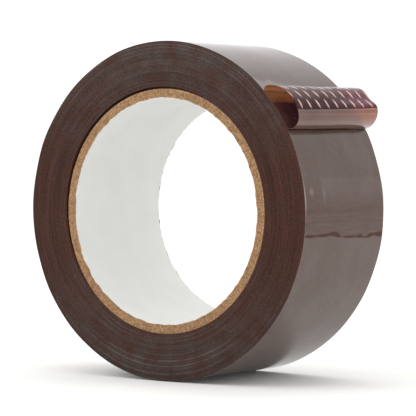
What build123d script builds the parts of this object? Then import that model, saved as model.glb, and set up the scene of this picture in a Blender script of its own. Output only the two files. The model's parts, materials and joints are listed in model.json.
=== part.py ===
from build123d import *
import math
import os

# A roll of packing tape on a spiral-wound paperboard core, standing on its rim.
# Its free end is peeled back and curled into a small open scroll, which carries a
# printed starter strip. The origin is the centre of the bore, +Y runs along the bore,
# +Z is up, and angles go from +X towards +Z. All lengths are in millimetres.

# ---------------------------------------------------------------- driving dimensions

tape_width = 48.0  # the tape, the core and every ply are cut to this width
bore_diameter = 76.2  # the three inch core that every hand dispenser takes
core_wall = 3.1
roll_diameter = 114.6  # outside of the outermost turn of tape

liner_thickness = 0.25  # the smooth white paper that faces the bore
ply_count = 6  # kraft plies behind the liner
glue_line = 0.03  # between one ply and the next
seam_gap = 0.35  # between the two edges of one wound strip
winding_angle = 60.0  # of a strip's edges to the axis

film_thickness = 0.08  # backing film and its adhesive
core_fit_gap = 0.05  # the first turn of tape doesn't quite grip the core
turn_gap = 0.03  # between the outermost turn and the winding under it

peel_angle = 28.6  # where the free end leaves the roll, measured from +X towards +Z
peel_clearance = 0.15  # of the free end's middle line from the roll, at its fold
peel_slot = 0.4  # where the turn under the outermost one comes to light
rest_clearance = 0.12  # of the free end's tip from the roll that it rests on

# The curl in section is three tangent arcs, from the fold outwards, up and back.
curl_start_heading = -5.0  # degrees above +X
bottom_radius, bottom_sweep = 3.9, 104.0
crown_radius, crown_sweep = 11.3, 88.0
tip_radius, tip_sweep = 1.45, 99.0

strip_length = 12.3  # of the printed starter strip, along the tape
strip_thickness = 0.05
strip_gap = 0.01
strip_offset = 9.4  # from the fold to the strip's first edge, along the film

# ---------------------------------------------------------------- derived dimensions

bore_radius = bore_diameter / 2
core_radius = bore_radius + core_wall
roll_radius = roll_diameter / 2
turn_inner_radius = roll_radius - film_thickness
winding_radius = turn_inner_radius - turn_gap
ply_thickness = (core_wall - liner_thickness) / ply_count - glue_line

os.makedirs("parts", exist_ok=True)
front_face = Plane.XZ.offset(tape_width / 2)  # its normal is -Y


def on_circle(radius, angle):
    """A point of the XZ plane, as sketches on that plane see it."""
    return radius * math.cos(math.radians(angle)), radius * math.sin(math.radians(angle))


def heading_vector(angle):
    return math.cos(math.radians(angle)), math.sin(math.radians(angle))


def save(piece, label):
    piece.part.label = label
    export_step(piece.part, f"parts/{label}.step")
    print(f"{label}: {piece.part.volume:.1f} mm3")


# ---------------------------------------------------------------- the core


def wound_ply(inner_radius, thickness, seam_angle):
    """One strip of paper wound once into a tube, with a helical gap where its edges meet."""
    middle_radius = inner_radius + thickness / 2
    pitch = 2 * math.pi * middle_radius / math.tan(math.radians(winding_angle))
    run = tape_width * 1.25  # the cutter starts and ends clear of both ends of the tube
    with BuildPart() as ply:
        with BuildSketch(front_face):
            Circle(inner_radius + thickness)
            Circle(inner_radius, mode=Mode.SUBTRACT)
        extrude(amount=-tape_width)
        with BuildLine():
            seam = Helix(pitch, run, middle_radius, center=(0, -run / 2, 0), direction=(0, 1, 0))
        outwards = Vector((seam @ 0).X, 0, (seam @ 0).Z)
        with BuildSketch(Plane(origin=seam @ 0, x_dir=outwards, z_dir=seam % 0)):
            Rectangle(thickness * 3, seam_gap)
        sweep(path=seam, is_frenet=True, mode=Mode.SUBTRACT)
    with BuildPart() as turned:
        add(ply.part.rotate(Axis.Y, seam_angle))
    return turned


save(wound_ply(bore_radius, liner_thickness, 35.0), "core_liner")

ply_inner_radius = bore_radius + liner_thickness + glue_line
for number in range(1, ply_count + 1):
    # each ply is fed from its own reel, so no two seams lie over each other
    save(wound_ply(ply_inner_radius, ply_thickness, 35.0 + 140.0 * number), f"core_ply_{number}")
    ply_inner_radius += ply_thickness + glue_line

# ---------------------------------------------------------------- the tape on the roll

with BuildPart() as tape_winding:
    with BuildSketch(front_face):
        Circle(winding_radius)
        Circle(core_radius + core_fit_gap, mode=Mode.SUBTRACT)
    extrude(amount=-tape_width)
save(tape_winding, "tape_winding")

with BuildPart() as outer_turn:
    with BuildSketch(front_face):
        Circle(roll_radius)
        Circle(turn_inner_radius, mode=Mode.SUBTRACT)
        slot_angle = peel_angle - math.degrees(peel_slot / roll_radius)
        with Locations(Location((*on_circle(roll_radius, slot_angle), 0), slot_angle)):
            Rectangle(film_thickness * 6, peel_slot, mode=Mode.SUBTRACT)
    extrude(amount=-tape_width)
save(outer_turn, "outer_turn")

# ---------------------------------------------------------------- the curled free end

fold = on_circle(roll_radius + peel_clearance, peel_angle)
crown_heading = curl_start_heading + bottom_sweep

with BuildPart() as tape_tail:
    with BuildSketch(Plane.XZ):
        with BuildLine():
            bottom = JernArc(fold, heading_vector(curl_start_heading), bottom_radius, bottom_sweep)
            crown = JernArc(bottom @ 1, bottom % 1, crown_radius, crown_sweep)
            tip = JernArc(crown @ 1, crown % 1, tip_radius, tip_sweep)
            offset(amount=film_thickness, side=Side.LEFT)
        make_face()
        Circle(roll_radius + rest_clearance, mode=Mode.SUBTRACT)
    extrude(amount=tape_width / 2, both=True)
save(tape_tail, "tape_tail")

# The strip covers the adhesive, which is on the outer side of the crown.
crown_offset = strip_offset - math.radians(bottom_sweep) * bottom_radius
strip_radius = crown_radius + strip_gap + strip_thickness
strip_start = math.degrees(crown_offset / crown_radius)
strip_sweep = math.degrees(strip_length / crown_radius)
strip_heading = crown_heading + strip_start
strip_corner = crown.arc_center + strip_radius * Vector(*heading_vector(strip_heading - 90))

with BuildPart() as starter_strip:
    with BuildSketch(Plane.XZ):
        with BuildLine():
            JernArc(strip_corner, heading_vector(strip_heading), strip_radius, strip_sweep)
            offset(amount=strip_thickness, side=Side.LEFT)
        make_face()
    extrude(amount=tape_width / 2, both=True)
save(starter_strip, "starter_strip")

curl_length = sum(
    math.radians(sweep_angle) * radius
    for radius, sweep_angle in (
        (bottom_radius, bottom_sweep),
        (crown_radius, crown_sweep),
        (tip_radius, tip_sweep),
    )
)
print(f"free film before trimming {curl_length:.1f} mm")
print(f"fold at x {fold[0]:.3f}, z {fold[1]:.3f}")
print(f"crown centre {crown.arc_center}")
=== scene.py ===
# %% [markdown]
# # A roll of brown packing tape
#
# This lesson dresses a finished CAD model of a roll of packing tape. The CAD holds every size and
# the one joint, and each step here gives one piece its real look: a spiral-wound paperboard core,
# about two hundred turns of brown film, and a free end that is peeled back and curled up, with a
# printed starter strip over its adhesive. The work is in millimetres, angles run from +X towards
# +Z, and +Y runs along the bore, away from the near side.

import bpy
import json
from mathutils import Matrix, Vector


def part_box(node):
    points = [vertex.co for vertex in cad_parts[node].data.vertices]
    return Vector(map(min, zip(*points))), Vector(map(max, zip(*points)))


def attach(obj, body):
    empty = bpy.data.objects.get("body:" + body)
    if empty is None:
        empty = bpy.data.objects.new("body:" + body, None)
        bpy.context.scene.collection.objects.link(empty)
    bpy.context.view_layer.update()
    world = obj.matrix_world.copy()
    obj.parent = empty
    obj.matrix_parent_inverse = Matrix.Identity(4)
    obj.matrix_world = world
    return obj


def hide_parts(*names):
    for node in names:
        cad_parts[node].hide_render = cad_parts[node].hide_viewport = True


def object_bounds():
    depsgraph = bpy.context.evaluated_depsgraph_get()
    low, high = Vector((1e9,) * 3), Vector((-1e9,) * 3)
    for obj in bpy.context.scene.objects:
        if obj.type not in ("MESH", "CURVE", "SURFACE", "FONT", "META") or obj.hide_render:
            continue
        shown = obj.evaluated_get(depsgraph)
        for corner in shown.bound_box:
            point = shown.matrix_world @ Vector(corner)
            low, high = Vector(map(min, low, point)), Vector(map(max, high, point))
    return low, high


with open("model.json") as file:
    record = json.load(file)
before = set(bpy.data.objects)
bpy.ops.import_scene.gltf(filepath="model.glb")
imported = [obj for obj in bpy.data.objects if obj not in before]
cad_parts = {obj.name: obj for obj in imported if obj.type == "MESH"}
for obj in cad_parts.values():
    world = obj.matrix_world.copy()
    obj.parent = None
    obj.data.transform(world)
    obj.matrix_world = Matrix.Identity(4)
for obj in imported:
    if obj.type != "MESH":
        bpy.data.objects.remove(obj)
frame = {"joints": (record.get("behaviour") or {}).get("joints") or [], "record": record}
cad_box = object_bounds()
print("CAD box", [round(side * 1000, 1) for side in cad_box[1] - cad_box[0]], "mm")

# %% Sizes that the frame gives
import bmesh
import bpy
import numpy as np
from mathutils import Vector

MM = 0.001
half_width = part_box("tape_winding")[1].y / MM
roll_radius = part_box("outer_turn")[1].x / MM
winding_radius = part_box("tape_winding")[1].x / MM
core_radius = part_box("core_ply_6")[1].x / MM
bore_radius = frame["record"]["mounts"][0]["dims"]["r_mm"]
fold = np.array(frame["joints"][0]["pos_m"])[[0, 2]] / MM
peel_angle = np.degrees(np.arctan2(fold[1], fold[0]))
film_thickness = 0.08
print(f"bore {bore_radius:.2f}, core {core_radius:.2f}, roll {roll_radius:.2f} mm")
print(f"peel line at {peel_angle:.1f} degrees")

# %% [markdown]
# ## Tools for making meshes
#
# Every piece here is a thin sheet or a stack of sheets, so one tool makes them all: a skin drawn
# through a row of loops. A loop starts at one rounded edge of the sheet, runs out along one side,
# turns at the other edge and comes back. Irregularity comes from seeded plane waves, which are
# smooth everywhere and repeat exactly on each run.

# %% Places on the roll, and smooth noise
def on_roll(radius, angle, y):
    """Points at a radius, at an angle in degrees and at a place across the width."""
    turn = np.radians(angle)
    return np.stack(np.broadcast_arrays(radius * np.cos(turn), y, radius * np.sin(turn)), -1)


def ripple(points, wavelength, seed, waves=24):
    """Smooth seeded noise of about unit height, with a wavelength in mm along each axis."""
    draw = np.random.default_rng(seed)
    heading = draw.normal(size=(waves, 3))
    length = np.linalg.norm(heading, axis=1, keepdims=True)
    heading *= 2 * np.pi * draw.uniform(0.6, 1.4, (waves, 1)) / length
    phase = draw.uniform(0, 2 * np.pi, waves)
    return np.cos(points / np.asarray(wavelength) @ heading.T + phase).sum(-1) * np.sqrt(2 / waves)


def bump_shape(distance):
    """1 at distance 0, falling smoothly to 0 at distance 1 and beyond."""
    return np.cos(np.clip(np.abs(distance), 0, 1) * np.pi / 2) ** 2


# %% A skin through loops, and a piece made of skins
def skin(loops, closed=False):
    """Points and faces through a row of loops, with its two ends filled unless it closes on itself."""
    loops = np.asarray(loops)
    count, size, _ = loops.shape
    index = np.arange(count * size).reshape(count, size)
    here, there = (index, np.roll(index, -1, 0)) if closed else (index[:-1], index[1:])
    quads = np.stack([here, np.roll(here, -1, 1), np.roll(there, -1, 1), there], -1)
    faces = quads.reshape(-1, 4).tolist()
    half = size // 2
    for row in [] if closed else [index[0].tolist(), index[-1].tolist()]:
        faces += [[row[0], row[1], row[-1]], [row[half - 1], row[half], row[half + 1]]]
        faces += [[row[k], row[k + 1], row[-k - 1], row[-k]] for k in range(1, half - 1)]
    return loops.reshape(-1, 3), faces


def build(name, skins, marks=None, crease=50):
    """One mesh object from skins. marks are two numbers at each point, kept as its UVs."""
    points, faces = [], []
    for skin_points, skin_faces in skins:
        first = sum(len(p) for p in points)
        points.append(skin_points)
        faces += [[first + corner for corner in face] for face in skin_faces]
    mesh = bpy.data.meshes.new(name)
    mesh.from_pydata((np.concatenate(points) * MM).tolist(), [], faces)
    shape = bmesh.new()
    shape.from_mesh(mesh)
    bmesh.ops.recalc_face_normals(shape, faces=shape.faces)
    shape.to_mesh(mesh)
    shape.free()
    mesh.shade_smooth()
    mesh.set_sharp_from_angle(angle=np.radians(crease))
    if marks is not None:
        corners = np.zeros(len(mesh.loops), np.int32)
        mesh.loops.foreach_get("vertex_index", corners)
        layer = mesh.uv_layers.new(name="marks")
        layer.data.foreach_set("uv", marks.reshape(-1, 2)[corners].astype(np.float32).ravel())
    piece = bpy.data.objects.new(name, mesh)
    bpy.context.collection.objects.link(piece)
    print(f"{name}: {len(mesh.vertices)} points, {len(mesh.polygons)} faces")
    return piece


def dress(piece, material, body, slot, *nodes):
    """The piece gets its finish, moves with a CAD body and stands for CAD nodes."""
    piece.data.materials.append(material)
    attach(piece, body)
    if nodes:
        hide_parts(*nodes)


# %% [markdown]
# ## Tools for making materials
#
# A finish is a small graph of nodes. Three small tools are enough: one turns a colour from sRGB hex
# to the linear values that shaders work in, one starts a material with an empty graph, and one adds
# a node with its settings and its links.

# %% Colours and nodes
def linear(hex_colour):
    """The linear colour of an sRGB hex value, with alpha 1."""
    channels = [int(hex_colour[start : start + 2], 16) / 255 for start in (1, 3, 5)]
    return [c / 12.92 if c <= 0.04045 else ((c + 0.055) / 1.055) ** 2.4 for c in channels] + [1.0]


def new_material(name):
    """A material without nodes, and its graph."""
    material = bpy.data.materials.new(name)
    material.use_nodes = True
    material.node_tree.nodes.clear()
    return material, material.node_tree


def add(tree, kind, settings=(), sockets=()):
    """A node. A setting is one of its own properties, and a socket takes a value or another output."""
    node = tree.nodes.new("ShaderNode" + kind)
    for name, value in dict(settings).items():
        setattr(node, name, value)
    for name, value in dict(sockets).items():
        if isinstance(value, bpy.types.NodeSocket):
            tree.links.new(value, node.inputs[name])
        else:
            node.inputs[name].default_value = value
    return node


# The factor, the two colours and the result of a Mix node that is set to colours.
FACTOR, COLOUR_A, COLOUR_B, COLOUR_OUT = 0, 6, 7, 2

# %% [markdown]
# ## The paper liner of the bore
#
# The innermost ply of the core is a strip of smooth white paper, calendered on one side, which is
# wound at 60 degrees to the axis with its edges butted. The saw that cut the core to length left
# its mouth a little ragged and short of the kraft plies. It is a helical sheet, so each loop runs
# from one end of the bore to the other, and the loops follow the seam around.

# %% A helical ply
winding_angle = 60.0
ply_rows, ply_columns = 36, 360
saw_margin = 0.06  # by which the saw's cut stays inside the tape's width
saw_rounding = 0.04  # how far the rounded middle of a sawn edge stands out
burr_reach = 0.7  # how far a burr goes down the bore


def wound_ply(inner_radius, outer_radius, seam_angle, seam_gap, short, burr, seed):
    """A paper strip wound once around. short and burr are lengths at its two sawn ends, in mm."""
    mean_radius = (inner_radius + outer_radius) / 2
    twist = np.degrees(np.tan(np.radians(winding_angle)) / mean_radius)
    gap = np.degrees(seam_gap / mean_radius)
    along = np.sin(np.linspace(-np.pi / 2, np.pi / 2, ply_rows))
    around = np.linspace(gap / 2, 360 - gap / 2, ply_columns)[:, None]
    angle = seam_angle + around + twist * along * half_width
    edge = on_roll(mean_radius, angle, half_width * np.sign(along))
    wear_and_sheen = short * (1 + 0.35 * ripple(edge, 5.0, seed) + 0.25 * ripple(edge, 1.9, seed + 1))
    y = along * (half_width - saw_margin - np.clip(wear_and_sheen, 0, None))
    near_end = bump_shape((1 - np.abs(along)) * half_width / burr_reach)
    torn = 0.7 + 0.4 * ripple(edge, 2.4, seed + 2) + 0.3 * ripple(edge, 7.0, seed + 3)
    lip = burr * near_end * np.clip(torn, 0, 2.2)
    outer = on_roll(np.full_like(y, outer_radius), angle, y)
    inner = on_roll(inner_radius - lip, angle, y)
    crown = np.sign(along[[0, -1]]) * saw_rounding
    tips = on_roll(mean_radius - lip[:, [0, -1]] / 2, angle[:, [0, -1]], y[:, [0, -1]] + crown)
    return skin(np.concatenate([tips[:, :1], outer, tips[:, 1:], inner[:, ::-1]], 1))


liner_thickness, liner_seam_angle, liner_seam_gap = 0.25, 100.0, 0.06
liner_outer = bore_radius + liner_thickness
liner_skin = wound_ply(
    bore_radius, liner_outer, liner_seam_angle, liner_seam_gap, short=0.3, burr=0.0, seed=11
)
liner = build("liner_paper", [liner_skin])

# %% The finish of calendered paper
def calendered_paper():
    """White paper, wood pulp pressed smooth between rollers.

    It gives the eye an even, matt, slightly warm white, with the faint cloudiness of pulp."""
    material, tree = new_material("calendered_white_paper")
    place = add(tree, "TexCoord").outputs["Object"]
    cloud = add(tree, "TexNoise", (), {"Vector": place, "Scale": 1 / (9 * MM), "Detail": 3.0})
    # Pulp fibres are 0.03 mm across, and this grain is coarser so that it shows.
    pulp = add(tree, "TexNoise", (), {"Vector": place, "Scale": 1 / (0.7 * MM), "Detail": 2.0})
    tone = add(tree, "Mix", {"data_type": "RGBA"}, {
        FACTOR: cloud.outputs[0], COLOUR_A: linear("#d6d6d3"), COLOUR_B: linear("#e1e1df"),
    })
    press = add(tree, "Bump", (), {"Strength": 0.25, "Distance": 0.03 * MM, "Height": pulp.outputs[0]})
    paper = add(tree, "BsdfPrincipled", (), {
        "Base Color": tone.outputs[COLOUR_OUT], "Roughness": 0.62, "IOR": 1.5,
        "Specular IOR Level": 0.3, "Normal": press.outputs[0],
    })
    add(tree, "OutputMaterial", (), {"Surface": paper.outputs[0]})
    return material


dress(liner, calendered_paper(), "roll", "white_liner_paper", "core_liner")

# %% [markdown]
# ## The kraft plies of the core
#
# Behind the liner six strips of brown kraft board are glued over each other, each with its own
# seam. Their sawn ends are what shows: a ring about three millimetres wide, furry with torn
# fibres. Each ply is its own helical sheet, and the torn fibres are a piece of their own.

# %% Six plies
ply_count = 6
glue_line = 0.03
ply_seam_gap, ply_short, first_ply_burr = 0.35, 0.09, 0.2
first_seam_angle, seam_angle_step = 35.0, 140.0  # so that no two seams lie over each other
ply_pitch = (core_radius - liner_outer) / ply_count


def kraft_board():
    """Unbleached kraft board, softwood pulp pressed into sheet and cut across by a saw.

    It gives the eye a dry light brown, speckled with darker and lighter fibres, with no shine."""
    material, tree = new_material("sawn_kraft_board")
    place = add(tree, "TexCoord").outputs["Object"]
    # The speckle too is coarser than pulp fibres.
    speckle = add(tree, "TexNoise", (), {"Vector": place, "Scale": 1 / (0.55 * MM), "Detail": 3.0})
    shade = add(tree, "TexNoise", (), {"Vector": place, "Scale": 1 / (5 * MM), "Detail": 2.0})
    contrast = add(tree, "MapRange", (), {
        "Value": speckle.outputs[0], "From Min": 0.33, "From Max": 0.67,
    })
    fibres = add(tree, "Mix", {"data_type": "RGBA"}, {
        FACTOR: contrast.outputs[0], COLOUR_A: linear("#846649"), COLOUR_B: linear("#ba9672"),
    })
    tone = add(tree, "Mix", {"data_type": "RGBA", "blend_type": "MULTIPLY"}, {
        FACTOR: shade.outputs[0], COLOUR_A: fibres.outputs[COLOUR_OUT], COLOUR_B: linear("#e2d8d2"),
    })
    fur = add(tree, "Bump", (), {"Strength": 0.8, "Distance": 0.12 * MM, "Height": speckle.outputs[0]})
    board = add(tree, "BsdfPrincipled", (), {
        "Base Color": tone.outputs[COLOUR_OUT], "Roughness": 0.9, "IOR": 1.5,
        "Specular IOR Level": 0.15, "Normal": fur.outputs[0],
    })
    add(tree, "OutputMaterial", (), {"Surface": board.outputs[0]})
    return material


kraft = kraft_board()
for number in range(1, ply_count + 1):
    ply_outer = liner_outer + ply_pitch * number
    ply_inner = ply_outer - ply_pitch + glue_line
    ply_seam = first_seam_angle + seam_angle_step * number
    ply_burr = first_ply_burr if number == 1 else 0.0  # the saw drags this ply over the liner
    ply_skin = wound_ply(ply_inner, ply_outer, ply_seam, ply_seam_gap, ply_short, ply_burr, 20 + 3 * number)
    ply = build(f"kraft_ply_{number}", [ply_skin])
    dress(ply, kraft, "roll", "kraft_board", f"core_ply_{number}")

# %% Torn fibres
# Real pulp fibres are about 0.03 mm thick; these stand for tufts of them, so that they show.
fibre_count, fibre_thickness, fibre_steps = 420, 0.04, 6
fibre_margin = 0.05  # how far past the core's bore and short of its outside they reach


def torn_fibres(side, seed):
    """Short bent fibres that lie on a sawn end, most of them along its bore edge."""
    draw = np.random.default_rng(seed)
    steps = np.linspace(0, 1, fibre_steps)
    fibres = []
    for _ in range(fibre_count):
        radius = liner_outer + (core_radius - liner_outer) * draw.beta(0.7, 1.5)
        length, heading, bend = draw.uniform(0.5, 1.7), draw.uniform(0, 2 * np.pi), draw.normal(0, 1.1)
        lean = heading + bend * steps
        out = radius + np.cumsum(np.cos(lean)) * length / fibre_steps
        out = np.clip(out, bore_radius - fibre_margin, core_radius - fibre_margin)
        angle = draw.uniform(0, 360) + np.degrees(np.cumsum(np.sin(lean)) * length / fibre_steps / radius)
        proud = half_width - 0.1 + draw.uniform(0.0, 0.16) * np.sin(steps * np.pi)
        thick = fibre_thickness * (0.5 + np.sin(steps * np.pi) / 2)
        ways = ((1, 0), (0, 1), (-1, 0), (0, -1))
        loop = [on_roll(out + a * thick, angle, side * (proud + b * thick)) for a, b in ways]
        fibres.append(skin(np.stack(loop, 1)))
    return fibres


fibres = build("kraft_fibres", torn_fibres(-1, 5) + torn_fibres(1, 6))
dress(fibres, kraft, "roll", "kraft_board")

# %% [markdown]
# ## The wound tape
#
# The jumbo roll was slit with rotary knives, and then each narrow roll was wound on its own core.
# No turn tracks exactly over the last, so each flat side is a fine relief of concentric ridges.
# One closed loop around the section of the winding makes both sides, and its points lie so
# close along the radius that the ridges are real shape. The first turns shrank away from the core
# a little on one side and slid in, which leaves a dark groove there.

# %% The winding
turn_drop = 0.06  # how much lower the outermost turn ends than it starts, as on any spiral
face_steps, winding_columns = 90, 480
turn_gap = 0.05  # between the winding and the core inside it, and the outermost turn around it
core_gap, core_gap_angle, core_gap_spread = 0.3, 145.0, 100.0
groove_depth, groove_width = 2.2, 0.85
slit_margin = 0.09  # by which the slit edges stay inside the tape's width


def out_of_round(angle):
    """How far the outer turns bulge or lie flat at an angle, in mm. It is 0 at the peel line."""
    here, peel = [ripple(on_roll(roll_radius, place, 0), 21, 70) for place in (angle, peel_angle)]
    return 0.06 * (here - peel)


def slit_relief(radius, angle, seed):
    """How far the cut edges of the turns lie inside the roll's width, in mm."""
    slow = np.radians(angle)
    place = np.stack(np.broadcast_arrays(radius, 12 * np.cos(slow), 12 * np.sin(slow)), -1)
    turns = 0.02 * ripple(place, (0.55, 70, 70), seed)
    bands = 0.035 * ripple(place, (2.8, 45, 45), seed + 1)
    return np.clip(slit_margin + turns + bands, 0, None)


around = np.linspace(0, 360, winding_columns, endpoint=False)[:, None]
away = (around - core_gap_angle + 180) % 360 - 180
slid = bump_shape(away / core_gap_spread)
first_turn = core_radius + turn_gap + core_gap * slid
last_turn = winding_radius - turn_drop - turn_gap + out_of_round(around)
radial = first_turn + (last_turn - first_turn) * np.linspace(0, 1, face_steps)
eased = 0.05 * bump_shape((radial - first_turn) / 0.3) + 0.04 * bump_shape((last_turn - radial) / 0.2)
eased = eased + groove_depth * slid * bump_shape((radial - first_turn) / groove_width)
near_face = on_roll(radial, around, -half_width + slit_relief(radial, around, 51) + eased)
far_face = on_roll(radial, around, half_width - slit_relief(radial, around, 61) - eased)
rim = on_roll(last_turn, around, half_width * np.linspace(-0.99, 0.99, 4))
throat = on_roll(first_turn, around, half_width * np.linspace(0.99, -0.99, 4))
winding = build(
    "wound_turns", [skin(np.concatenate([near_face, rim, far_face[:, ::-1], throat], 1), closed=True)]
)

# %% The finish of slit film edges
def slit_film():
    """Brown polypropylene film seen edge-on, two hundred layers cut by a rotary knife.

    It gives the eye a deep satin red-brown, in fine rings of greyer and redder turns. The greyer faces
    towards the top and the bottom, in patches, are painted sheen, and the light rings there are painted
    highlights."""
    material, tree = new_material("slit_polypropylene_edges")
    place = add(tree, "TexCoord").outputs["Object"]
    across = add(tree, "VectorMath", {"operation": "MULTIPLY"}, {0: place, 1: (1.0, 0.0, 1.0)})
    radius = add(tree, "VectorMath", {"operation": "LENGTH"}, {0: across.outputs[0]})
    drift = add(tree, "VectorMath", {"operation": "SCALE"}, {0: place, "Scale": 0.02})
    rings = add(tree, "CombineXYZ", (), {"X": radius.outputs["Value"]})
    ringed = add(tree, "VectorMath", {"operation": "ADD"}, {0: rings.outputs[0], 1: drift.outputs[0]})
    # Turns are 0.08 mm apart, too fine to show: these rings stand for a few turns each.
    turns = add(tree, "TexNoise", (), {
        "Vector": ringed.outputs[0], "Scale": 1 / (0.45 * MM), "Detail": 3.0, "Roughness": 0.7,
    })
    bands = add(tree, "TexNoise", (), {"Vector": ringed.outputs[0], "Scale": 1 / (3.5 * MM), "Detail": 2.0})
    smudge = add(tree, "TexNoise", (), {"Vector": place, "Scale": 1 / (6 * MM), "Detail": 4.0})
    grain = add(tree, "TexNoise", (), {"Vector": place, "Scale": 1 / (0.6 * MM), "Detail": 2.0})
    mottled = add(tree, "Mix", {}, {0: 0.45, 2: turns.outputs[0], 3: grain.outputs[0]})
    contrast = add(tree, "MapRange", (), {"Value": mottled.outputs[0], "From Min": 0.36, "From Max": 0.64})
    ring_tone = add(tree, "Mix", {"data_type": "RGBA"}, {
        FACTOR: contrast.outputs[0], COLOUR_A: linear("#2b100a"), COLOUR_B: linear("#58301f"),
    })
    parts = add(tree, "SeparateXYZ", (), {0: place})
    height = add(tree, "Math", {"operation": "ABSOLUTE"}, {0: parts.outputs["Z"]})
    # Painted sheen: the faces turn greyer towards the top and the bottom, in patches.
    wear_and_sheen = add(tree, "MapRange", (), {
        "Value": height.outputs[0], "From Min": 15 * MM, "From Max": 55 * MM, "To Min": 0.08, "To Max": 0.9,
    })
    patch = add(tree, "MapRange", (), {
        "Value": smudge.outputs[0], "From Min": 0.35, "From Max": 0.65, "To Min": 0.3, "To Max": 1.2,
    })
    patchy_sheen = add(tree, "Math", {"operation": "MULTIPLY"}, {0: wear_and_sheen.outputs[0], 1: patch.outputs[0]})
    grey_tone = add(tree, "Mix", {"data_type": "RGBA"}, {
        FACTOR: contrast.outputs[0], COLOUR_A: linear("#352a25"), COLOUR_B: linear("#5c504c"),
    })
    sheen_tone = add(tree, "Mix", {"data_type": "RGBA"}, {
        FACTOR: patchy_sheen.outputs[0], COLOUR_A: ring_tone.outputs[COLOUR_OUT],
        COLOUR_B: grey_tone.outputs[COLOUR_OUT],
    })
    band_tone = add(tree, "Mix", {"data_type": "RGBA", "blend_type": "MULTIPLY"}, {
        FACTOR: bands.outputs[0], COLOUR_A: sheen_tone.outputs[COLOUR_OUT], COLOUR_B: linear("#a8a4a2"),
    })
    # Painted highlight: some rings are lighter, mostly towards the top and the bottom.
    proud = add(tree, "TexNoise", (), {
        "Vector": ringed.outputs[0], "Scale": 1 / (0.8 * MM), "Detail": 1.0,
    })
    lit_ring = add(tree, "MapRange", (), {
        "Value": proud.outputs[0], "From Min": 0.6, "From Max": 0.7, "To Max": 0.27,
    })
    ring_part = add(tree, "Math", {"operation": "MULTIPLY"}, {0: lit_ring.outputs[0], 1: patchy_sheen.outputs[0]})
    fine_tone = add(tree, "Mix", {"data_type": "RGBA"}, {
        FACTOR: ring_part.outputs[0], COLOUR_A: band_tone.outputs[COLOUR_OUT], COLOUR_B: linear("#7c757a"),
    })
    rough = add(tree, "MapRange", (), {"Value": smudge.outputs[0], "To Min": 0.42, "To Max": 0.6})
    comb = add(tree, "Bump", (), {"Strength": 0.9, "Distance": 0.07 * MM, "Height": turns.outputs[0]})
    film = add(tree, "BsdfPrincipled", (), {
        "Base Color": fine_tone.outputs[COLOUR_OUT], "Roughness": rough.outputs[0], "IOR": 1.5,
        "Specular IOR Level": 0.16, "Normal": comb.outputs[0],
    })
    add(tree, "OutputMaterial", (), {"Surface": film.outputs[0]})
    return material


dress(winding, slit_film(), "roll", "brown_tape", "tape_winding")

# %% [markdown]
# ## The outermost turn
#
# This is the one turn whose whole width shows. It starts at the peel line, under the curled free end, and
# runs once around to just below it, lying a film's thickness lower at the end than at the start. Air trapped
# under it and uneven pull leave it very slightly wavy, and the gloss makes that visible: a few small
# blisters catch the light. Its colour also carries painted sheen, a lighter band in front, and painted
# highlights along the near edge and on the blisters.

# %% The turn
turn_rows, turn_columns = 74, 560
peel_slot = 0.4  # between the turn's start and its end
peel_skew = 0.35  # degrees by which the peel line climbs from the near edge to the far one
turn_settling = 0.03  # by which the turn starts lower than the roll's nominal radius
edge_rounding = 0.03  # how far the rounded middle of a cut edge stands out
near_cut_angle, far_cut_angle = -6.9, -8.5  # where the cut end used to lie, at its two corners
# Each blister: angle, place across, half its length along the turn, half its width, and its height.
blisters = (
    (7.2, -20.0, 2.3, 2.2, 0.085),
    (6.0, -12.6, 4.6, 1.3, 0.045),
    (21.5, 6.4, 0.8, 0.6, 0.03),
    (13.4, 12.5, 0.8, 0.6, 0.03),
    (24.0, 21.5, 0.9, 0.6, 0.03),
    (-25.0, 15.6, 1.0, 0.8, 0.04),
    (-31.0, 5.0, 3.0, 0.8, 0.012),
    (118.0, -9.0, 1.6, 1.0, 0.03),
    (163.0, 13.0, 2.2, 0.9, 0.03),
)


def blister_shapes(angle, y):
    """For each blister its height in mm and how much of it is there, from 0 to 1."""
    for centre, across, length, width, height in blisters:
        away = (angle - centre + 180) % 360 - 180
        along = np.radians(away) * roll_radius / length
        yield height, bump_shape(np.hypot(along, (y - across) / width))


def turn_radius(angle, y):
    """The outer radius of the outermost turn, blisters included."""
    share = (angle - peel_angle) / 360
    place = on_roll(roll_radius, angle, y)
    waves = 0.012 * ripple(place, (26, 17, 26), 71) + 0.0025 * ripple(place, (5, 7, 5), 72)
    radius = roll_radius - turn_settling - turn_drop * share + waves + out_of_round(angle)
    for height, shape in blister_shapes(angle, y):
        radius = radius + height * shape
    return radius


def cut_line_angle(y):
    """Where the cut edge of the free end used to lie on the roll, in degrees."""
    flat = np.stack(np.broadcast_arrays(y, 0, 0), -1)
    wander = 0.26 * ripple(flat, 12, 81) + 0.08 * ripple(flat, 4, 82)
    straight = np.interp(y, [-half_width, half_width], [near_cut_angle, far_cut_angle])
    return straight + np.degrees(wander / roll_radius)


def close_contact(angle, y):
    """1 where the cut end was pressed down, just above its edge, fading to 0 further up."""
    away = (angle + 180) % 360 - 180
    above = np.clip((away - cut_line_angle(y)) / 0.5, 0, 1)
    return above * np.clip((9 - away) / 8, 0, 1)


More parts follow.
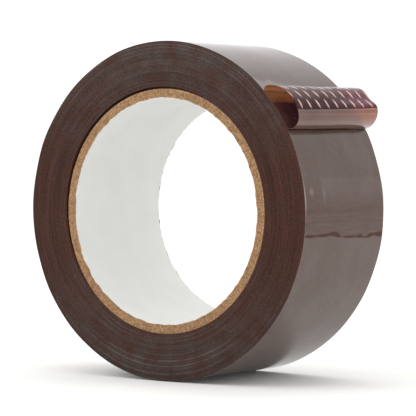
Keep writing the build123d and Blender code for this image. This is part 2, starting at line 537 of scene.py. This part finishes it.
def trapped_air_and_sheen(angle, y):
    """How silvery the turn is where it stands off the turn below, from 0 to 1, with a painted sheen band and
    painted highlights along the near edge and on the blisters added.
    """
    place = on_roll(roll_radius, angle, y)
    away = (angle + 180) % 360 - 180
    patches = 0.04 + 0.02 * ripple(place, (16, 11, 16), 74) + 0.012 * ripple(place, (3.2, 2.6, 3.2), 75)
    patches = np.clip(patches, 0, 1) * (1 - close_contact(angle, y))
    # Lighter below the cut line.
    below = 0.07 * np.clip((cut_line_angle(y) - away) / 0.8, 0, 1) * bump_shape((away + 7) / 90)
    # Painted sheen: a lighter band from 3 to 12.5 degrees, on all but the near edge.
    sheen_range = np.clip((12.5 - away) / 1.5, 0, 1) * np.clip((away - 3) / 4, 0, 1)
    sheen = 0.07 * sheen_range * np.clip((y + 15) / 3, 0, 1)
    # Painted highlight: a line along the near edge, brightest around 5 degrees.
    near_edge_highlight = bump_shape(y + half_width) * (0.08 + 0.9 * bump_shape((away - 5) / 9))
    air_and_sheen = patches + below + sheen + near_edge_highlight
    # Painted highlight on each blister.
    for height, shape in blister_shapes(angle, y):
        air_and_sheen = air_and_sheen + 5 * height * shape ** 1.5
    return np.clip(air_and_sheen, 0, 1)


# The rows lie closer together towards both edges, where the shape changes most.
bunching = 0.94
row_place = np.sin(np.linspace(-np.pi / 2, np.pi / 2, turn_rows) * bunching)
turn_y = half_width * row_place / np.sin(np.pi / 2 * bunching)
start = peel_angle + peel_skew * (turn_y / half_width + 1) / 2
sweep = 360 - np.degrees(peel_slot / roll_radius)
turn_angle = start + sweep * np.linspace(0, 1, turn_columns)[:, None]
edge_wander = 0.05 + 0.03 * ripple(on_roll(roll_radius, turn_angle, 0), (30, 30, 30), 73)
turn_y = turn_y * (half_width - edge_wander) / half_width
outer_radius = turn_radius(turn_angle, turn_y)
turn_outer = on_roll(outer_radius, turn_angle, turn_y)
turn_inner = on_roll(outer_radius - film_thickness, turn_angle, turn_y)
tip_y = turn_y[:, [0, -1]] + np.array([-edge_rounding, edge_rounding])
turn_tips = on_roll(outer_radius[:, [0, -1]] - film_thickness / 2, turn_angle[:, [0, -1]], tip_y)
turn_marks = np.stack([trapped_air_and_sheen(turn_angle, turn_y), close_contact(turn_angle, turn_y)], -1)
turn_marks = np.concatenate([turn_marks[:, :1], turn_marks, turn_marks[:, -1:], turn_marks[:, ::-1]], 1)
outermost = build(
    "outermost_turn",
    [skin(np.concatenate([turn_tips[:, :1], turn_outer, turn_tips[:, 1:], turn_inner[:, ::-1]], 1))],
    turn_marks,
)

# %% The finish of wound film
def wound_film():
    """Brown polypropylene film, stretched both ways and wound tight over its own adhesive.

    It gives the eye a dark gloss that mirrors the room softly, browner where it lies close on the turn below
    and greyer where it is held off it. Towards that grey it also carries painted sheen in front and painted
    highlights along the near edge and on the blisters."""
    material, tree = new_material("stretched_polypropylene_film")
    place = add(tree, "TexCoord").outputs["Object"]
    marks = add(tree, "UVMap", {"uv_map": "marks"})
    parts = add(tree, "SeparateXYZ", (), {0: marks.outputs[0]})
    air_and_sheen, close = parts.outputs["X"], parts.outputs["Y"]
    cloud = add(tree, "TexNoise", (), {"Vector": place, "Scale": 1 / (1.6 * MM), "Detail": 4.0})
    pull = add(tree, "VectorMath", {"operation": "MULTIPLY"}, {0: place, 1: (1.0, 0.12, 1.0)})
    streak = add(tree, "TexNoise", (), {
        "Vector": pull.outputs[0], "Scale": 1 / (1.1 * MM), "Detail": 3.0,
    })
    mottle = add(tree, "MapRange", (), {"Value": cloud.outputs[0], "From Min": 0.35, "From Max": 0.65})
    apart = add(tree, "Mix", {"data_type": "RGBA"}, {
        FACTOR: mottle.outputs[0], COLOUR_A: linear("#472617"), COLOUR_B: linear("#3f2b20"),
    })
    lines = add(tree, "MapRange", (), {"Value": streak.outputs[0], "From Min": 0.35, "From Max": 0.65})
    pressed = add(tree, "Mix", {"data_type": "RGBA"}, {
        FACTOR: lines.outputs[0], COLOUR_A: linear("#3b1e12"), COLOUR_B: linear("#4c2d20"),
    })
    tone = add(tree, "Mix", {"data_type": "RGBA"}, {
        FACTOR: close, COLOUR_A: apart.outputs[COLOUR_OUT], COLOUR_B: pressed.outputs[COLOUR_OUT],
    })
    # This mark also carries painted sheen and painted highlights, which lighten the colour towards this
    # grey.
    silvered_and_sheen = add(tree, "Mix", {"data_type": "RGBA"}, {
        FACTOR: air_and_sheen, COLOUR_A: tone.outputs[COLOUR_OUT], COLOUR_B: linear("#8d827f"),
    })
    rough = add(tree, "MapRange", (), {"Value": streak.outputs[0], "To Min": 0.04, "To Max": 0.09})
    wave = add(tree, "Bump", (), {"Strength": 0.1, "Distance": 0.003 * MM, "Height": streak.outputs[0]})
    film = add(tree, "BsdfPrincipled", (), {
        "Base Color": silvered_and_sheen.outputs[COLOUR_OUT], "Roughness": rough.outputs[0], "IOR": 1.5,
        "Normal": wave.outputs[0],
    })
    add(tree, "OutputMaterial", (), {"Surface": film.outputs[0]})
    return material


dress(outermost, wound_film(), "roll", "brown_tape", "outer_turn")

# %% [markdown]
# ## The mark of the cut end
#
# Before the end was peeled, it lay on the roll and its cut edge left a wavy line of adhesive on
# the turn below. It is a ribbon a few hundredths of a millimetre high, drawn as its own skin.

# %% The line of adhesive
line_rows, line_margin = 150, 0.4
line_half_width, line_height, line_sinking = 0.62, 0.03, 0.01
line_y = np.linspace(-half_width + line_margin, half_width - line_margin, line_rows)
line_middle = cut_line_angle(line_y)
flat = np.stack([line_y, 0 * line_y, 0 * line_y], -1)
line_spread = line_half_width * np.clip(1 + 0.35 * ripple(flat, 5, 83), 0.35, 2)
line_half = np.degrees(line_spread / roll_radius)
line_seat = turn_radius(line_middle + 360, line_y)
line_loops = [
    on_roll(line_seat - line_sinking, line_middle + line_half, line_y),
    on_roll(line_seat + line_height, line_middle, line_y),
    on_roll(line_seat - line_sinking, line_middle - line_half, line_y),
    on_roll(line_seat - line_height, line_middle, line_y),
]
cut_mark = build("adhesive_line", [skin(np.stack(line_loops, 1))])


def dried_adhesive():
    """Pressure-sensitive adhesive, a soft resin left behind by a lifted edge.

    It gives the eye a dull brown that breaks the gloss of the film."""
    material, tree = new_material("left_adhesive")
    place = add(tree, "TexCoord").outputs["Object"]
    dust = add(tree, "TexNoise", (), {"Vector": place, "Scale": 1 / (0.9 * MM), "Detail": 3.0})
    tone = add(tree, "Mix", {"data_type": "RGBA"}, {
        FACTOR: dust.outputs[0], COLOUR_A: linear("#38190f"), COLOUR_B: linear("#4c281c"),
    })
    resin = add(tree, "BsdfPrincipled", (), {
        "Base Color": tone.outputs[COLOUR_OUT], "Roughness": 0.45, "IOR": 1.48, "Specular IOR Level": 0.2,
    })
    add(tree, "OutputMaterial", (), {"Surface": resin.outputs[0]})
    return material


dress(cut_mark, dried_adhesive(), "roll", "brown_tape")

# %% [markdown]
# ## The curled free end
#
# Oriented film keeps the curl that it had on the roll and adds more when it is pulled off, so
# the free end stands up as an open scroll and its tip rests on the roll. Its section is a line
# that sets out from the fold and takes a few bends. The far rim takes other bends than the near
# one, because it has been handled, and the film between them runs smoothly from one to the other.

# %% The section of the curl at both rims
fold_clearance = 0.15  # of the film from the roll's nominal radius at the peel line
rest_clearance = -0.01  # of its tip from that radius, above the turn that has settled lower
course_points, curl_points = 4000, 400
# Each bend: its length in mm, and how far the line turns to the left over it, in degrees.
near_bends = ((7.1, 104), (8.0, 38.5), (9.4, 49.5), (3.2, 127))
far_bends = ((8.0, 74), (3.4, 59), (3.4, -27), (4.9, 51), (4.4, 8), (3.4, 130))
near_heading, far_heading = -5.0, 15.0


def curl_line(angle, heading, bends):
    """Points along a line that leaves the roll at an angle and stops where it meets the roll again."""
    lengths = np.cumsum([0, *[length for length, _ in bends]])
    turns = np.cumsum([0, *[turn for _, turn in bends]])
    travelled = np.linspace(0, lengths[-1], course_points)
    course = np.radians(heading + np.interp(travelled, lengths, turns))
    step = travelled[1]
    seat = roll_radius + fold_clearance
    x = seat * np.cos(np.radians(angle)) + np.cumsum(np.cos(course)) * step
    z = seat * np.sin(np.radians(angle)) + np.cumsum(np.sin(course)) * step
    landed = (np.hypot(x, z) < roll_radius + rest_clearance) & (travelled > lengths[-1] / 2)
    stop = int(np.argmax(landed)) if landed.any() else len(x) - 1
    keep = np.linspace(0, stop, curl_points).astype(int)
    return np.stack([x[keep], z[keep]], -1), travelled[stop]


near_line, near_length = curl_line(peel_angle, near_heading, near_bends)
far_line, far_length = curl_line(peel_angle + peel_skew, far_heading, far_bends)
print(f"near rim {near_length:.1f} mm of film, far rim {far_length:.1f} mm")
print("near tip", near_line[-1].round(2), "far tip", far_line[-1].round(2))

# %% The film between the rims
curl_rows, curl_columns = 60, 190
curl_margin, curl_rounding = 0.06, 0.03
far_share_power = 1.6  # above 1, so that the near rim's bends reach past the middle
strip_length, strip_thickness, strip_start = 12.6, 0.05, 9.0


def curl_sheet(shares, y, lift, thickness):
    """Both sides of a sheet that follows the curl, lifted off the film's outer side."""
    across = ((y / half_width + 1) / 2)[None, :, None]
    path = np.linspace(0, 1, len(near_line))
    near = np.stack([np.interp(shares, path, near_line[:, k]) for k in (0, 1)], -1)[:, None]
    far = np.stack([np.interp(shares, path, far_line[:, k]) for k in (0, 1)], -1)[:, None]
    line = near + (far - near) * across ** far_share_power
    flow = np.gradient(line, axis=0)
    flow /= np.linalg.norm(flow, axis=-1, keepdims=True)
    hollow = np.stack([-flow[..., 1], flow[..., 0]], -1)
    where = np.stack(np.broadcast_arrays(shares[:, None] * near_length, y, 0), -1)
    slack = 0.07 * ripple(where, (9, 13, 1), 91) * np.sin(shares * np.pi)[:, None]
    sides = [line + hollow * (slack + out)[..., None] for out in (-lift - thickness, -lift)]
    return [np.stack([s[..., 0], np.broadcast_to(y, s.shape[:2]), s[..., 1]], -1) for s in sides]


def sheet_skin(sides, round_edge):
    """The skin of a sheet from its two sides, with rounded edges."""
    outer, inner = sides
    tips = (outer[:, [0, -1]] + inner[:, [0, -1]]) / 2
    tips[..., 1] += np.array([-round_edge, round_edge])
    return skin(np.concatenate([tips[:, :1], outer, tips[:, 1:], inner[:, ::-1]], 1))


curl_y = (half_width - curl_margin) * np.linspace(-1, 1, curl_rows)
curl_shares = np.linspace(0, 1, curl_columns)
film_sides = curl_sheet(curl_shares, curl_y, -film_thickness, film_thickness)
curl_lengths = curl_shares[:, None] * near_length
film_marks = np.stack(np.broadcast_arrays(curl_lengths, np.zeros(2 * curl_rows + 2)), -1)
free_end = build("curled_film", [sheet_skin(film_sides, curl_rounding)], film_marks)

# %% The finish of a single film
def single_film(name, coat, index, tones):
    """The same brown polypropylene film as one layer with its hazy adhesive.

    It gives the eye a glossy brown from outside and, with light behind it, an orange glow. By the fold, on
    the underside that faces the roll, it is painted deeper in colour and streaked and is less clear, which
    is painted shade, and towards the bare tip it is painted a clearer, brighter orange, which is a painted
    glow."""
    material, tree = new_material(name)
    place = add(tree, "TexCoord").outputs["Object"]
    marks = add(tree, "UVMap", {"uv_map": "marks"})
    parts = add(tree, "SeparateXYZ", (), {0: marks.outputs[0]})
    cloud = add(tree, "TexNoise", (), {"Vector": place, "Scale": 1 / (6 * MM), "Detail": 3.0})
    clear = add(tree, "Mix", {"data_type": "RGBA"}, {
        FACTOR: cloud.outputs[0], COLOUR_A: linear(tones[0]), COLOUR_B: linear(tones[1]),
    })
    across = add(tree, "VectorMath", {"operation": "MULTIPLY"}, {0: marks.outputs[0], 1: (0.8, 0.8, 0)})
    streaks = add(tree, "TexNoise", (), {"Vector": across.outputs[0], "Scale": 1.0, "Detail": 1.0})
    streak = add(tree, "MapRange", (), {"Value": streaks.outputs[0], "From Min": 0.35, "From Max": 0.65})
    # Painted shade: deeper, streaked and less clear by the fold, on the underside that faces the roll.
    deep = add(tree, "Mix", {"data_type": "RGBA"}, {
        FACTOR: streak.outputs[0], COLOUR_A: linear("#7a3c1e"), COLOUR_B: linear("#a45a3a"),
    })
    out_of_fold_shade = add(tree, "MapRange", (), {
        "Value": parts.outputs["X"], "From Min": strip_start - 0.5, "From Max": strip_start + 1.5,
    })
    tone = add(tree, "Mix", {"data_type": "RGBA"}, {
        FACTOR: out_of_fold_shade.outputs[0], COLOUR_A: deep.outputs[COLOUR_OUT], COLOUR_B: clear.outputs[COLOUR_OUT],
    })
    tip = add(tree, "MapRange", (), {
        "Value": parts.outputs["X"], "From Min": strip_start + strip_length, "From Max": near_length - 1,
    })
    # Painted glow: a brighter orange towards the tip.
    tip_glow_tone = add(tree, "Mix", {"data_type": "RGBA"}, {
        FACTOR: tip.outputs[0], COLOUR_A: tone.outputs[COLOUR_OUT], COLOUR_B: linear("#ffaa70"),
    })
    haze = add(tree, "MapRange", (), {"Value": cloud.outputs[0], "To Min": 0.24, "To Max": 0.34})
    through = add(tree, "MapRange", (), {"Value": out_of_fold_shade.outputs[0], "To Min": 0.77, "To Max": 0.97})
    # Polypropylene's index is 1.49, but then both skins of so thin a film mirror too much: the index
    # given here is lower, and the coat makes the gloss.
    film = add(tree, "BsdfPrincipled", (), {
        "Base Color": tip_glow_tone.outputs[COLOUR_OUT], "Roughness": haze.outputs[0], "IOR": index,
        "Transmission Weight": through.outputs[0], "Coat Weight": coat, "Coat Roughness": 0.06,
    })
    add(tree, "OutputMaterial", (), {"Surface": film.outputs[0]})
    return material


brown_film = single_film("single_polypropylene_film", 0.9, 1.25, ("#c37044", "#d28356"))
dress(free_end, brown_film, "free_end", "clear_brown_film", "tape_tail")

# %% The part that is bonded to the starter strip
# No air lies over the adhesive here, and the ink on the strip's underside tints it.
free_end.data.materials.append(single_film("bonded_polypropylene_film", 0.0, 1.03, ("#ecc4f4", "#f0caf6")))
face_lengths = (curl_shares[:-1] + curl_shares[1:]) / 2 * near_length
bonded = np.zeros((curl_columns - 1, 2 * curl_rows + 2), np.int32)
under_strip = (face_lengths > strip_start) & (face_lengths < strip_start + strip_length)
bonded[under_strip, 1:curl_rows] = 1
bonded[under_strip, curl_rows + 2 : 2 * curl_rows + 1] = 1
slots = np.zeros(len(free_end.data.polygons), np.int32)
slots[: bonded.size] = bonded.ravel()
free_end.data.polygons.foreach_set("material_index", slots)
print("bonded faces", int(slots.sum()))

# %% [markdown]
# ## The printed starter strip
#
# A thin film covers the adhesive of the free end, so that a thumb can find it. It is gravure
# printed in purple, with three rows of slanted light dashes. The mesh carries its own lengths in
# millimetres as UVs, so the print is drawn at its true size wherever the film bends.

# %% The strip
strip_columns, strip_rows = 60, 60
strip_lift, strip_margin, strip_rounding = 0.02, 0.08, 0.02
strip_shares = (strip_start + strip_length * np.linspace(0, 1, strip_columns)) / near_length
strip_y = (half_width - strip_margin) * np.linspace(-1, 1, strip_rows)
strip_sides = curl_sheet(strip_shares, strip_y, strip_lift, strip_thickness)
along_strip = np.linspace(0, strip_length, strip_columns)
loop_y = np.concatenate([strip_y[:1], strip_y, strip_y[-1:], strip_y[::-1]]) + half_width
strip_marks = np.stack(np.broadcast_arrays(loop_y[None, :], along_strip[:, None]), -1)
starter = build("starter_strip_film", [sheet_skin(strip_sides, strip_rounding)], strip_marks)

# %% The finish of a printed film
# The pattern in mm. The slant is how far a dash leans over for each mm of its height.
row_height, column_pitch = 4.2, 5.25
dash_length, dash_width, dash_slant = 4.1, 1.25, 0.2


def printed_film():
    """Clear film printed by gravure with a see-through plum ink and denser, pale dashes.

    It gives the eye a dark purple with a bronze gloss and pale dashes, and violet from inside."""
    material, tree = new_material("gravure_printed_film")
    marks = add(tree, "UVMap", {"uv_map": "marks"}).outputs[0]
    parts = add(tree, "SeparateXYZ", (), {0: marks})
    row = add(tree, "Math", {"operation": "DIVIDE"}, {0: parts.outputs["Y"], 1: row_height})
    row_number = add(tree, "Math", {"operation": "FLOOR"}, {0: row.outputs[0]})
    in_row = add(tree, "Math", {"operation": "FRACT"}, {0: row.outputs[0]})
    up = add(tree, "Math", {"operation": "MULTIPLY_ADD"}, {
        0: in_row.outputs[0], 1: row_height, 2: -row_height / 2,
    })
    lean = add(tree, "Math", {"operation": "MULTIPLY_ADD"}, {
        0: up.outputs[0], 1: dash_slant, 2: parts.outputs["X"],
    })
    stagger = add(tree, "Math", {"operation": "MULTIPLY_ADD"}, {
        0: row_number.outputs[0], 1: column_pitch / 2, 2: lean.outputs[0],
    })
    column = add(tree, "Math", {"operation": "DIVIDE"}, {0: stagger.outputs[0], 1: column_pitch})
    in_column = add(tree, "Math", {"operation": "FRACT"}, {0: column.outputs[0]})
    side = add(tree, "Math", {"operation": "MULTIPLY_ADD"}, {
        0: in_column.outputs[0], 1: column_pitch, 2: -column_pitch / 2,
    })
    tall = add(tree, "Math", {"operation": "DIVIDE"}, {0: up.outputs[0], 1: dash_length / 2})
    wide = add(tree, "Math", {"operation": "DIVIDE"}, {0: side.outputs[0], 1: dash_width / 2})
    spot = add(tree, "CombineXYZ", (), {"X": tall.outputs[0], "Y": wide.outputs[0]})
    reach = add(tree, "VectorMath", {"operation": "LENGTH"}, {0: spot.outputs[0]})
    dash = add(tree, "MapRange", (), {
        "Value": reach.outputs["Value"], "From Min": 1.1, "From Max": 0.55,
    })
    place = add(tree, "TexCoord").outputs["Object"]
    ink = add(tree, "TexNoise", (), {"Vector": place, "Scale": 1 / (3 * MM), "Detail": 3.0})
    ground = add(tree, "Mix", {"data_type": "RGBA"}, {
        FACTOR: ink.outputs[0], COLOUR_A: linear("#6e484c"), COLOUR_B: linear("#785056"),
    })
    tone = add(tree, "Mix", {"data_type": "RGBA"}, {
        FACTOR: dash.outputs[0], COLOUR_A: ground.outputs[COLOUR_OUT], COLOUR_B: linear("#e8cabf"),
    })
    clear = add(tree, "MapRange", (), {"Value": dash.outputs[0], "To Min": 0.85, "To Max": 0.4})
    # The index is lower than a film's 1.49, as for the brown film, and ink bronzes what it mirrors.
    film = add(tree, "BsdfPrincipled", (), {
        "Base Color": tone.outputs[COLOUR_OUT], "Roughness": 0.18, "IOR": 1.17,
        "Transmission Weight": clear.outputs[0], "Specular Tint": linear("#ffa45e"),
    })
    add(tree, "OutputMaterial", (), {"Surface": film.outputs[0]})
    return material


dress(starter, printed_film(), "free_end", "printed_strip", "starter_strip")

# %% [markdown]
# ## The studio
#
# Glossy brown film shows little of itself and much of what is around it, so the room is part of
# the look: a white room, a white floor that the lower half mirrors, a large soft box above and
# behind, which brightens the top of the roll, and a smaller one to the front and left.

# %% Floor
floor_radius = 4.0
floor_mesh = bpy.data.meshes.new("floor")
floor_shape = bmesh.new()
bmesh.ops.create_circle(floor_shape, cap_ends=True, radius=floor_radius, segments=96)
floor_shape.to_mesh(floor_mesh)
floor_shape.free()
floor = bpy.data.objects.new("floor", floor_mesh)
floor.location.z = cad_box[0].z
bpy.context.collection.objects.link(floor)


def opal_acrylic():
    """Matt opal acrylic, lit a little from below so that shadows on it stay pale."""
    material, tree = new_material("matt_opal_acrylic")
    sheet = add(tree, "BsdfPrincipled", (), {
        "Base Color": linear("#f4f4f2"), "Roughness": 0.9, "Specular IOR Level": 0.1,
        "Emission Color": (1.0, 1.0, 1.0, 1.0), "Emission Strength": 0.02,
    })
    add(tree, "OutputMaterial", (), {"Surface": sheet.outputs[0]})
    return material


floor_mesh.materials.append(opal_acrylic())

# %% Room light
room_brightness = 1.15
world = bpy.data.worlds.new("white_room")
world.use_nodes = True
bpy.context.scene.world = world
room = world.node_tree.nodes["Background"]
room.inputs["Color"].default_value = (1, 1, 1, 1)
room.inputs["Strength"].default_value = room_brightness


def soft_box(name, place, size, watts):
    """A square soft box that faces the roll."""
    lamp = bpy.data.lights.new(name, "AREA")
    lamp.size = size
    lamp.energy = watts
    box = bpy.data.objects.new(name, lamp)
    box.location = place
    box.rotation_euler = (-Vector(place)).to_track_quat("-Z", "Y").to_euler()
    bpy.context.collection.objects.link(box)


soft_box("back_overhead", (-0.25, 0.82, 1.39), 1.35, 4.3)
soft_box("front_left", (-0.75, -1.0, 0.95), 0.8, 4.0)

# %% Camera
camera_azimuth, camera_elevation = np.radians(35.98), np.radians(1.75)
camera_distance = 0.7681
aim_right, aim_up = 1.0 * MM, 0.55 * MM
lens = bpy.data.cameras.new("camera")
lens.lens = 192.8
lens.sensor_width = 36.0
camera = bpy.data.objects.new("camera", lens)
bpy.context.collection.objects.link(camera)
toward_camera = Vector((
    np.sin(camera_azimuth) * np.cos(camera_elevation),
    -np.cos(camera_azimuth) * np.cos(camera_elevation),
    np.sin(camera_elevation),
))
to_the_right = Vector((np.cos(camera_azimuth), np.sin(camera_azimuth), 0))
aim = to_the_right * aim_right + Vector((0, 0, aim_up))
camera.location = toward_camera * camera_distance
camera.rotation_mode = "QUATERNION"
camera.rotation_quaternion = (aim - camera.location).to_track_quat("-Z", "Y")
bpy.context.scene.camera = camera
bpy.context.scene.view_settings.view_transform = "Standard"

# %% Import json
import json
